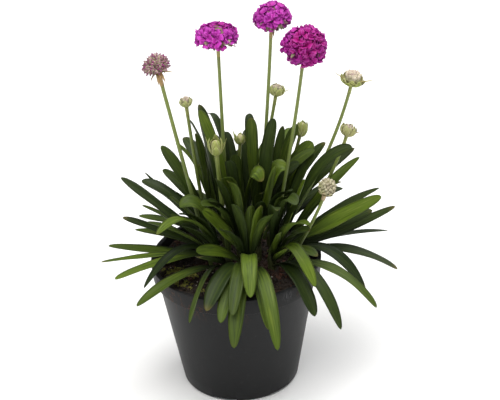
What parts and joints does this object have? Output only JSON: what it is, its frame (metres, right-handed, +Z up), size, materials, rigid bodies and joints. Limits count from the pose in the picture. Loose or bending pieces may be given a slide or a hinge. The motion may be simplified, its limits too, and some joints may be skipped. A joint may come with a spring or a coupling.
{
  "type": "potted sea thrift",
  "caption": "Flowering sea thrift: a cushion of long strap leaves with round flower heads and buds on bare upright stems, growing in a plain round plastic nursery pot.",
  "frame": {"origin": "middle of the pot's underside, on the plane it stands on", "axes": "+Z up along the pot's axis, +X to the viewer's right, the pictured front towards -Y"},
  "size_m": [0.2253, 0.1995, 0.3124],
  "materials": {
    "pot_plastic": "matte black, a little dusty and scuffed",
    "soil": null,
    "leaf": null,
    "stem": null,
    "petals": null,
    "bud": null,
    "green_bud": null,
    "bract": "dry papery tan bracts and sheath"
  },
  "bodies": {
    "root": {"pot": "pot_plastic", "soil": "soil", "shoot_inner_front_right": "leaf", "shoot_inner_back_right": "leaf", "shoot_inner_back_left": "leaf", "shoot_inner_front_left": "leaf", "shoot_front": "leaf", "shoot_front_right": "leaf", "shoot_right": "leaf", "shoot_back_right": "leaf", "shoot_back": "leaf", "shoot_back_left": "leaf", "shoot_left": "leaf", "shoot_front_left": "leaf", "stem_01": "stem", "stem_02": "stem", "stem_03": "stem", "stem_04": "stem", "stem_05": "stem", "stem_06": "stem", "stem_07": "stem", "stem_08": "stem", "stem_09": "stem", "stem_10": "stem", "stem_11": "stem", "stem_12": "stem", "stem_13": "stem", "head_01": "bud", "head_02": "bud", "head_03": "petals", "head_04": "petals", "head_05": "petals", "head_06": "bud", "head_07": "bud", "head_08": "bud", "head_09": "bud", "head_10": "green_bud", "head_11": "green_bud", "head_12": "green_bud", "head_13": "green_bud", "bracts_01": "bract", "bracts_02": "bract", "bracts_03": "bract", "bracts_04": "bract", "bracts_05": "bract", "bracts_06": "bract", "bracts_07": "bract", "bracts_08": "bract", "bracts_09": "bract"}
  },
  "joints": []
}
